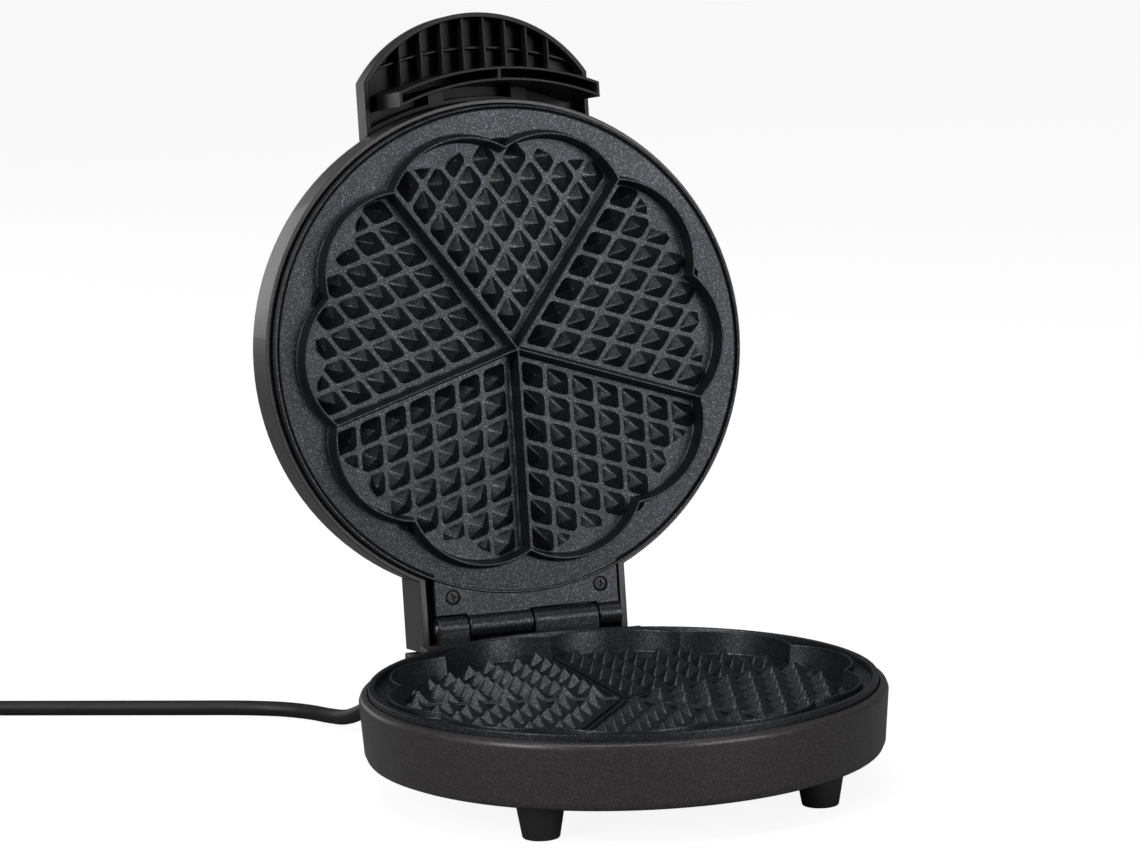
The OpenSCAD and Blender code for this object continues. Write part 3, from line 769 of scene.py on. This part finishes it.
def hinge_leaf(name, tab, web, barrels, screw_y, recess):
    """The tab that a plate is hinged and screwed by: a flat tongue with screw seats, and barrels."""
    low, high = tab
    leaf = block(name, low, high, bevel=0.45)
    for x in (-TAB_SCREW_X, TAB_SCREW_X):
        leaf = cut(leaf, post("seat", x, screw_y, recess[0], recess[1], 3.6))
    parts = [leaf]
    for x0, x1 in barrels:
        parts.append(bar_along_x("barrel", x0, x1, HINGE_Y, HINGE_Z, BARREL_R, bevel=0.6))
        parts.append(block("web", (x0 + 0.02, *web[0]), (x1 - 0.02, *web[1]), bevel=0.4))
    return joined(name, parts)


def tab_screw():
    """A cross-head screw's head with its shank, its top at z = 0."""
    head = drawn_up(
        "screw", [(-6, 1.5), (-1.7, 1.5), (-1.65, 3.3), (-0.55, 3.3), (-0.2, 3.0), (0, 2.3)], 40
    )
    for angle in (45, 135):
        slot = block("slot", (-1.9, -0.42, -1.1), (1.9, 0.42, 1), bevel=0.15)
        slot.data.transform(turn(angle))
        cut(head, slot)
    return cut(head, drawn_up("well", [(-1.3, 0.3), (-0.9, 0.8), (1, 1.15)], 24))


# ---------- operators ----------


class WAFFLE_OT_stage(bpy.types.Operator):
    """Adds the camera, the soft studio lights and the pale floor"""

    bl_idname = "waffle.stage"
    bl_label = "Studio and camera"

    def execute(self, context):
        self.camera(context)
        self.floor()
        self.backdrop(context)
        for name, spot, aim, dimensions, power in STUDIO_LIGHTS:
            self.light(context, name, spot, aim, dimensions, power)
        context.scene.view_settings.view_transform = "Standard"
        return {"FINISHED"}

    @staticmethod
    def camera(context):
        azimuth, elevation = math.radians(CAMERA_TURN), math.radians(CAMERA_RISE)
        roll = math.radians(CAMERA_ROLL)
        target = Vector((CAMERA_AIM_X, AXIS_Y, CAMERA_AIM_Z)) * 0.001
        ahead = Vector((
            math.sin(azimuth) * math.cos(elevation), math.cos(azimuth) * math.cos(elevation),
            -math.sin(elevation),
        ))
        right = ahead.cross(Vector((0, 0, 1))).normalized()
        up = right.cross(ahead)
        right, up = (
            math.cos(roll) * right + math.sin(roll) * up, -math.sin(roll) * right + math.cos(roll) * up
        )
        data = bpy.data.cameras.new("Camera")
        camera = bpy.data.objects.new("Camera", data)
        context.scene.collection.objects.link(camera)
        data.lens = CAMERA_LENS
        data.sensor_width = CAMERA_SENSOR
        data.sensor_fit = "HORIZONTAL"
        data.clip_start, data.clip_end = 0.05, 60
        spot = target - ahead * CAMERA_DISTANCE
        camera.matrix_world = Matrix((
            (right.x, up.x, -ahead.x, spot.x), (right.y, up.y, -ahead.y, spot.y),
            (right.z, up.z, -ahead.z, spot.z), (0, 0, 0, 1),
        ))
        context.scene.camera = camera

    @staticmethod
    def floor():
        put_down()
        bpy.ops.mesh.primitive_grid_add(
            x_subdivisions=4, y_subdivisions=4, size=FLOOR_SIDE, location=(0, 0, 0)
        )
        floor = bpy.context.object
        floor.name = "floor"
        pale = bpy.data.materials.new("floor_pale")
        pale.use_nodes = True
        tree = pale.node_tree
        paint = tree.nodes["Principled BSDF"]
        paint.inputs["Base Color"].default_value = (0.3, 0.3, 0.3, 1)
        paint.inputs["Roughness"].default_value = 1.0
        paint.inputs["Specular IOR Level"].default_value = 0.0
        # Seen straight on, the floor glows a little, so that it is as pale as the backdrop
        ray = tree.nodes.new("ShaderNodeLightPath")
        shown = add_node(
            tree, "ShaderNodeMath", {0: ray.outputs["Is Camera Ray"], 1: FLOOR_GLOW}, operation="MULTIPLY"
        )
        glow = add_node(
            tree, "ShaderNodeEmission", {"Color": (1, 1, 1, 1), "Strength": shown.outputs[0]}
        )
        both = add_node(tree, "ShaderNodeAddShader", {0: paint.outputs[0], 1: glow.outputs[0]})
        tree.links.new(both.outputs[0], tree.nodes["Material Output"].inputs["Surface"])
        floor.data.materials.append(pale)

    @staticmethod
    def backdrop(context):
        world = bpy.data.worlds.new("studio")
        context.scene.world = world
        world.use_nodes = True
        tree = world.node_tree
        shown = tree.nodes["Background"]
        shown.inputs["Color"].default_value = (1, 1, 1, 1)
        shown.inputs["Strength"].default_value = FLOOR_GLOW + 0.3 * SURROUND
        surround = add_node(tree, "ShaderNodeBackground", {"Color": (1, 1, 1, 1), "Strength": SURROUND})
        ray = tree.nodes.new("ShaderNodeLightPath")
        mix = add_node(
            tree, "ShaderNodeMixShader",
            {0: ray.outputs["Is Camera Ray"], 1: surround.outputs[0], 2: shown.outputs[0]},
        )
        tree.links.new(mix.outputs[0], tree.nodes["World Output"].inputs["Surface"])

    @staticmethod
    def light(context, name, spot, aim, dimensions, power):
        data = bpy.data.lights.new(name, "AREA")
        data.shape = "RECTANGLE"
        data.size, data.size_y = dimensions
        data.energy = power
        lamp = bpy.data.objects.new(name, data)
        context.scene.collection.objects.link(lamp)
        lamp.location = spot
        lamp.rotation_euler = (Vector(aim) - Vector(spot)).to_track_quat("-Z", "Y").to_euler()


class WAFFLE_OT_cord(bpy.types.Operator):
    """Lays the mains cord, its gland, its coil with the tie, and the plug"""

    bl_idname = "waffle.cord"
    bl_label = "Mains cord and plug"

    def execute(self, context):
        self.gland()
        body, pins = self.plug()
        strips = frame["nodes"]["plug_earth_strips"]
        strips.data.materials.clear()
        strips.data.materials.append(frame_finishes()["plug_earth_strips"])
        tie = softened("coil_tie", "base", black_plastic(), 0.0003, segments=1)

        curve = bpy.data.curves.new("cord", "CURVE")
        curve.dimensions = "3D"
        curve.bevel_depth = sizes().cord_diameter / 2
        curve.bevel_resolution = 5
        curve.use_fill_caps = True
        curve.resolution_u = 6
        points = self.centreline()
        spline = curve.splines.new("BEZIER")
        spline.bezier_points.add(len(points) - 1)
        for knot, place in zip(spline.bezier_points, points):
            knot.co = TO_ROW @ place
            knot.handle_left_type = knot.handle_right_type = "AUTO"
        cord = bpy.data.objects.new("mains_cord_laid", curve)
        context.scene.collection.objects.link(cord)
        curve.materials.append(cord_rubber())
        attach(cord, "base")
        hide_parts("mains_cord", "cord_coil", "cord_tail")
        return {"FINISHED"}

    @staticmethod
    def centreline():
        points = [Vector(p) for p in CORD_ROUTE]
        for step in range(COIL_TURNS * COIL_STEPS + 1):
            angle = math.radians(90 + 360 * step / COIL_STEPS)
            radius = COIL_OUT_R - 7 * step / COIL_STEPS
            points.append(
                COIL_CENTRE + Vector((radius * math.cos(angle), radius * math.sin(angle), CORD_Z))
            )
        inner = COIL_OUT_R - 7 * COIL_TURNS
        for step in range(1, TAIL_STEPS + 1):
            part = step / TAIL_STEPS
            angle = math.radians(90 + 90 * part)
            radius = inner - 1.7 * part
            height = CORD_Z + (PLUG_Z - CORD_Z) * (1 - math.cos(math.pi * part)) / 2
            points.append(
                COIL_CENTRE + Vector((radius * math.cos(angle), radius * math.sin(angle), height))
            )
        return points

    @staticmethod
    def gland():
        """Models the tapered sleeve with a collar and flexing ribs."""
        stations = [
            (-5.4, 5.6), (-5.3, 6.7), (-2.7, 6.7), (-2.6, 4.95), (3.2, 4.95), (5.0, 4.95), (5.05, 6.3),
            (5.5, 6.6), (7.2, 6.6), (7.7, 6.2),
        ]
        for k in range(6):
            z, r = 8.3 + 2.5 * k, 5.6 - 0.17 * k
            stations += [(z, r - 0.75), (z + 0.5, r - 0.8), (z + 0.7, r), (z + 2.1, r - 0.05)]
        stations += [(23.5, 4.45), (24.0, 4.0), (24.02, 3.4)]
        ob = drawn_up("cord_gland_ribbed", stations, 48)
        gland_matrix = (
            Matrix.Translation((
                109.4 * math.cos(math.radians(GLAND_ANGLE)), 109.4 * math.sin(math.radians(GLAND_ANGLE)),
                GLAND_Z,
            ))
            @ turn(108) @ turn(98, "Y")
        )
        return finished(
            ob, "base", cord_rubber(), ("cord_gland",), matrix=TO_ROW @ gland_matrix
        )

    @staticmethod
    def plug():
        """Models the angled round plug with a ribbed sleeve, two pins and side flats."""
        at = Matrix.Translation((COIL_CENTRE.x - 29.8, COIL_CENTRE.y - 20 - PLUG_R, 7.2))
        shell = drawn_up("plug_body_moulded", [
            (0, 15.5), (0.4, 17.2), (1.6, 18.5), (3.2, 19), (17.6, 19), (18.2, 18.6), (18.4, 17.9),
            (21.6, 17.5), (22.4, 17.2), (22.9, 16.4), (22.9, 13.4), (22.2, 13.2), (22.2, 2.6), (14, 2.4),
        ], 72)
        for s in (-1, 1):
            x = s * (PLUG_R + 0.4)
            cut(shell, block("flat", (x - 1.4, -3, 6), (x + 1.4, 3, 40)))
        sleeve_stations = [(-6, 6.2), (3.4, 6.6), (4.0, 6.4)]
        for k in range(7):
            z, r = 5.0 + 2.5 * k, 6.3 - 0.2 * k
            sleeve_stations += [(z, r - 0.8), (z + 0.6, r - 0.8), (z + 0.8, r), (z + 2.0, r)]
        sleeve_stations += [(23.2, 4.6), (23.9, 4.2), (24, 3.4)]
        sleeve = drawn_up("sleeve", sleeve_stations, 48)
        sleeve.data.transform(Matrix.Translation((0, PLUG_R - 4, PLUG_Z - 7.2)) @ turn(-90, "X"))
        shell = joined("plug_body_moulded", [shell, sleeve])
        finished(shell, "base", black_plastic(), ("plug_body",), matrix=TO_ROW @ at)
        nickel = finish(
            "pin_nickel", (0.62, 0.61, 0.58), grain=(0.7, 0.69, 0.66), share=0.3, grain_size=0.8,
            texture_size=0.3, depth=0.003, rough=(0.15, 0.25), patch=5, metallic=1.0,
        )
        pin = drawn_up("pin", [(22.0, 2.4), (39.0, 2.4), (39.9, 2.25), (40.6, 1.8), (41.0, 1.0)], 32)
        both = [copy_of(pin, "pin", Matrix.Translation((0, y, 0))) for y in (-9.5, 9.5)]
        bpy.data.objects.remove(pin, do_unlink=True)
        pins = joined("plug_pins_turned", both)
        finished(pins, "base", nickel, ("plug_pins",), matrix=TO_ROW @ at)
        return shell, pins


class WAFFLE_OT_lower_plate(bpy.types.Operator):
    """Models the lower baking plate with its hearts, lip, rim and hinge leaf"""

    bl_idname = "waffle.lower_plate"
    bl_label = "Lower baking plate"

    def execute(self, context):
        r = sizes().lower_lobe * 1000
        plate = drawn_up("plate", [
            (LOWER_UNDER, PLATE_R - 0.4), (LOWER_UNDER + 0.4, PLATE_R), (LOWER_TOP - 0.6, PLATE_R),
            (LOWER_TOP - 0.15, PLATE_R - 0.2), (LOWER_TOP, PLATE_R - 0.65), (LOWER_TOP, RIM_IN_R + 0.65),
            (LOWER_TOP - 0.15, RIM_IN_R + 0.2), (LOWER_TOP - 0.6, RIM_IN_R),
            (LOWER_MOAT + 0.9, RIM_IN_R - 0.2), (LOWER_MOAT + 0.25, RIM_IN_R - 0.5),
            (LOWER_MOAT, RIM_IN_R - 1.2), (LOWER_MOAT, lobed(r + 1.1)),
            (LOWER_MOAT + 0.25, lobed(r + 0.4)), (LOWER_MOAT + 0.9, lobed(r + 0.1)),
            (LOWER_TOP - 0.5, lobed(r)), (LOWER_TOP - 0.12, lobed(r - 0.15)), (LOWER_TOP, lobed(r - 0.42)),
            (LOWER_TOP, lobed(r - 0.78)), (LOWER_TOP - 0.12, lobed(r - 1.05)),
            (LOWER_TOP - 0.5, lobed(r - 1.2)), (LOWER_FLOOR + 0.9, lobed(r - 2.0)),
            (LOWER_FLOOR + 0.25, lobed(r - 2.3)), (LOWER_FLOOR, lobed(r - 3.0)),
        ])
        parts = [plate]
        rib = ridge([(36.8, 0.85), (38.3, 0.6), (38.6, 0.35)], 2.2, 92.5)
        for axis in DIVIDER_AXES:
            for s in (-1, 1):
                parts.append(copy_of(rib, "rib", turn(axis) @ Matrix.Translation((0, 1.7 * s, 0))))
        bpy.data.objects.remove(rib, do_unlink=True)
        field = heart_field()
        parts += hearts(field, LOWER_FLOOR, False)
        bpy.data.objects.remove(field, do_unlink=True)
        parts.append(hinge_leaf(
            "lower_leaf", ((-TAB_HALF_W, 100, 39.4), (TAB_HALF_W, 121, 43.5)),
            ((119.0, 39.4), (126.2, HINGE_Z)), LOWER_BARRELS, LOWER_SCREW_Y, (41.5, 46),
        ))
        ob = joined("lower_plate_cast", parts)
        finished(outward(ob), "base", plate_coating(), ("lower_plate",), smooth=30)
        return {"FINISHED"}


class WAFFLE_OT_upper_plate(bpy.types.Operator):
    """Models the upper baking plate with its hanging lips, hearts and hinge leaf"""

    bl_idname = "waffle.upper_plate"
    bl_label = "Upper baking plate"

    def execute(self, context):
        r = sizes().upper_lobe * 1000
        face, tip = UPPER_FACE, UPPER_TIP
        plate = drawn_up("plate", [
            (UPPER_BACK, BEAD_R - 0.4), (UPPER_BACK - 0.4, BEAD_R), (face - 0.2, BEAD_R),
            (face - 0.6, BEAD_R - 0.2), (face - 0.8, BEAD_R - 0.6), (face - 0.75, BEAD_R - 1.0),
            (face - 0.3, BEAD_R - 1.35), (face + 0.7, BEAD_R - 1.55), (face + 0.9, BEAD_R - 1.85),
            (face + 0.7, BEAD_R - 2.1), (face + 0.2, BEAD_R - 2.25), (face, BEAD_R - 2.7),
            (face, lobed(r + 2.6)), (face - 0.2, lobed(r + 1.9)), (face - 0.75, lobed(r + 1.45)),
            (tip + 0.45, lobed(r + 0.55)), (tip + 0.1, lobed(r + 0.42)), (tip, lobed(r + 0.2)),
            (tip, lobed(r - 0.2)), (tip + 0.1, lobed(r - 0.42)), (tip + 0.45, lobed(r - 0.55)),
            (face - 0.75, lobed(r - 1.45)), (face - 0.2, lobed(r - 1.9)), (face, lobed(r - 2.6)),
        ])
        parts = [plate]
        wall = ridge(
            [(face + 0.1, 2.5), (face - 0.2, 1.9), (face - 0.75, 1.4), (tip + 0.42, 0.52), (tip + 0.12, 0.4),
             (tip + 0.02, 0.2)], -0.15, DIVIDER_END,
        )
        for k, axis in enumerate(DIVIDER_AXES):
            parts.append(copy_of(wall, "wall", Matrix.Translation((0, 0, 0.012 * k)) @ turn(axis)))
        bpy.data.objects.remove(wall, do_unlink=True)
        field = heart_field()
        parts += hearts(field, face, True)
        bpy.data.objects.remove(field, do_unlink=True)
        parts.append(hinge_leaf(
            "upper_leaf", ((-TAB_HALF_W, 95, face + 0.1), (TAB_HALF_W, 118.5, face + 3)),
            ((117.4, face + 0.1), (HINGE_Y, face + 3)), UPPER_BARRELS, UPPER_SCREW_Y,
            (face - 1, face + 1.4),
        ))
        skirt = drawn_up("skirt", [(face + 1, 105), (face + 11, 105)], 120)
        parts.append(cut(skirt, post("hollow", 0, 0, face + 5, face + 20, 102.5, sides=120)))
        ob = joined("upper_plate_cast", parts)
        finished(
            outward(ob), "lid", plate_coating(), ("upper_plate",), lid=True, smooth=30
        )
        return {"FINISHED"}


class WAFFLE_OT_screws(bpy.types.Operator):
    """Models the four cross-head screws of the plates' tabs, and the hinge pin"""

    bl_idname = "waffle.screws"
    bl_label = "Tab screws and hinge pin"

    def execute(self, context):
        model = tab_screw()
        sides = (-TAB_SCREW_X, TAB_SCREW_X)
        both = [
            copy_of(model, "screw", Matrix.Translation((x, LOWER_SCREW_Y, 43.4)) @ turn(x))
            for x in sides
        ]
        lower = joined("lower_tab_screws_cut", both)
        finished(lower, "base", black_screw(), ("lower_tab_screws",))
        over = Matrix.Rotation(math.pi, 4, "X")
        both = [
            copy_of(model, "screw", Matrix.Translation((x, UPPER_SCREW_Y, 49.5)) @ over @ turn(x))
            for x in sides
        ]
        upper = joined("upper_tab_screws_cut", both)
        finished(upper, "lid", black_screw(), ("upper_tab_screws",), lid=True)
        bpy.data.objects.remove(model, do_unlink=True)
        pin = bar_along_x(
            "hinge_pin_turned", -PIN_HALF_L, PIN_HALF_L, HINGE_Y, HINGE_Z, PIN_R, bevel=0.3, sides=32
        )
        finished(pin, "base", frame_finishes()["foot_screws"], ("hinge_pin",))
        return {"FINISHED"}


class WAFFLE_OT_housings(bpy.types.Operator):
    """Rounds the edges of the base housing, the lid housing and the vent ring"""

    bl_idname = "waffle.housings"
    bl_label = "Housings"

    def execute(self, context):
        edge = sizes().moulded_edge
        softened("base_housing", "base", housing_paint(), edge)
        softened("lid_housing", "lid", housing_paint(), edge)
        softened("vent_ring", "lid", black_plastic(), 0.0002, segments=1)
        return {"FINISHED"}


class WAFFLE_OT_handle(bpy.types.Operator):
    """Rounds the edges of the ribbed handle and its guard"""

    bl_idname = "waffle.handle"
    bl_label = "Handle"

    def execute(self, context):
        softened("handle", "lid", black_plastic(), sizes().moulded_edge * 0.7)
        return {"FINISHED"}


class WAFFLE_OT_feet(bpy.types.Operator):
    """Models one turned foot and sets four copies of it under the base"""

    bl_idname = "waffle.feet"
    bl_label = "Feet"

    def execute(self, context):
        foot = drawn_up("foot", [
            (5.0, 3.9), (5.0, 4.2), (0.5, 4.2), (0.12, 4.35), (0, 4.8), (0, 7.0), (0.15, 7.45), (0.6, 7.8),
            (FOOT_H - 0.5, 10.35), (FOOT_H, 10.5),
        ], 72)
        for node, (x, y) in FEET.items():
            made = copy_of(foot, node + "_turned", Matrix.Translation((x, y, 0)))
            finished(made, "base", foot_plastic(), (node,))
        bpy.data.objects.remove(foot, do_unlink=True)
        return {"FINISHED"}


class WAFFLE_OT_lamps(bpy.types.Operator):
    """Models the domed lenses of the two lamps"""

    bl_idname = "waffle.lamps"
    bl_label = "Lamp lenses"

    def execute(self, context):
        lens = drawn_up("lens", [(80, 3.9), (84.4, 3.9), (84.9, 3.6), (85.2, 2.8), (85.35, 1.6)], 40)
        for node, x, tint, slot in LENSES:
            glass = finish(
                node.replace("_lens", "_glass"), tint, grain=tuple(min(1, v * 1.5) for v in tint), share=0.3,
                grain_size=0.8, texture_size=0.5, depth=0.004, rough=(0.12, 0.2), patch=3, coat=0.5,
                transmission=0.4,
            )
            made = copy_of(lens, node + "_domed", Matrix.Translation((x, LENS_Y, 0)))
            finished(made, "lid", glass, (node,), lid=True)
        bpy.data.objects.remove(lens, do_unlink=True)
        return {"FINISHED"}


class WAFFLE_OT_fittings(bpy.types.Operator):
    """Gives the fittings that keep the frame's shape their finishes"""

    bl_idname = "waffle.fittings"
    bl_label = "Fittings"

    def execute(self, context):
        for node, material in frame_finishes().items():
            data = frame["nodes"][node].data
            data.materials.clear()
            data.materials.append(material)
        return {"FINISHED"}


OPERATORS = (
    WAFFLE_OT_stage, WAFFLE_OT_cord, WAFFLE_OT_housings, WAFFLE_OT_handle, WAFFLE_OT_lower_plate,
    WAFFLE_OT_upper_plate, WAFFLE_OT_screws, WAFFLE_OT_feet, WAFFLE_OT_lamps, WAFFLE_OT_fittings,
)


class WAFFLE_PT_panel(bpy.types.Panel):
    """Lists the sizes, the colours and the pieces of the waffle maker"""

    bl_idname = "WAFFLE_PT_panel"
    bl_label = "Heart waffle maker"
    bl_space_type = "VIEW_3D"
    bl_region_type = "UI"
    bl_category = "Waffle maker"

    def draw(self, context):
        layout = self.layout
        for group in (context.scene.waffle_sizes, context.scene.waffle_colours):
            box = layout.box()
            for key in group.__annotations__:
                box.prop(group, key)
        for operator in OPERATORS:
            layout.operator(operator.bl_idname)


CLASSES = (WaffleSizes, WaffleColours, *OPERATORS, WAFFLE_PT_panel)


def register():
    for cls in CLASSES:
        bpy.utils.register_class(cls)
    bpy.types.Scene.waffle_sizes = PointerProperty(type=WaffleSizes)
    bpy.types.Scene.waffle_colours = PointerProperty(type=WaffleColours)


def unregister():
    del bpy.types.Scene.waffle_colours
    del bpy.types.Scene.waffle_sizes
    for cls in reversed(CLASSES):
        bpy.utils.unregister_class(cls)


def main():
    register()
    bpy.ops.waffle.stage()
    bpy.ops.waffle.cord()
    bpy.ops.waffle.housings()
    bpy.ops.waffle.handle()
    bpy.ops.waffle.lower_plate()
    bpy.ops.waffle.upper_plate()
    bpy.ops.waffle.screws()
    bpy.ops.waffle.feet()
    bpy.ops.waffle.lamps()
    bpy.ops.waffle.fittings()
    put_down()


if __name__ == "__main__":
    main()
